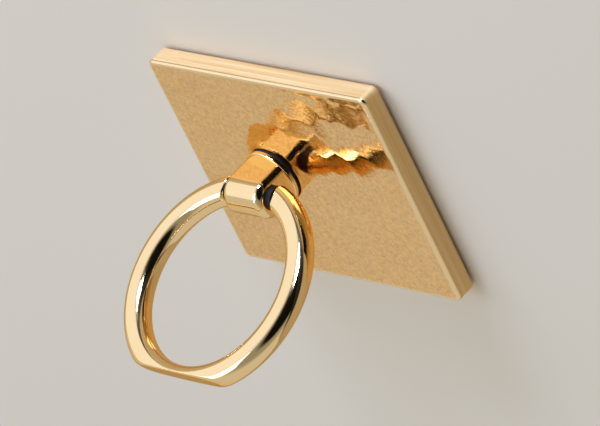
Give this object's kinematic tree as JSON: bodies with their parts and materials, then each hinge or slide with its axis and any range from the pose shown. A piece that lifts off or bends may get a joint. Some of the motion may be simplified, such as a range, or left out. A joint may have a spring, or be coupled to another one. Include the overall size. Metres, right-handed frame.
{
  "type": "phone ring holder",
  "caption": "Stick-on phone grip and stand: a rectangular gold plate with an embossed face, a swivelling hinge post and a folding finger ring with a flat foot.",
  "frame": {"origin": "centre of the adhesive pad's back face, where the holder sticks to a phone", "axes": "+X along the plate's long side, +Y along its short side, +Z out of the plate's face along the swivel axis; the ring is raised and leans towards -Y"},
  "size_m": [0.0394, 0.0324, 0.03],
  "materials": {
    "embossed_gold": "gold plate over a finely embossed zinc casting",
    "polished_gold": "mirror-polished gold plate over zinc alloy",
    "adhesive_foam": "matt black acrylic foam tape",
    "black_acetal": "moulded, satin",
    "spring_steel": "bright steel"
  },
  "bodies": {
    "plate": {"base_plate": "embossed_gold", "adhesive_pad": "adhesive_foam", "swivel_bush": "black_acetal"},
    "swivel": {"swivel_post": "polished_gold", "spring_washer": "spring_steel", "retaining_washer": "spring_steel", "retaining_screw": "spring_steel", "hinge_pin": "spring_steel", "hinge_washer_left": "black_acetal", "hinge_washer_right": "black_acetal"},
    "ring": {"finger_ring": "polished_gold"}
  },
  "joints": [
    {"name": "swivel_turn", "type": "hinge", "parent": "plate", "child": "swivel", "pos_m": [-0.0052, 0, 0.0034], "axis": [0, 0, 1], "continuous": true},
    {"name": "ring_fold", "type": "hinge", "parent": "swivel", "child": "ring", "pos_m": [-0.0052, 0, 0.00719], "axis": [1, 0, 0], "range_deg": [-117, 63]}
  ]
}
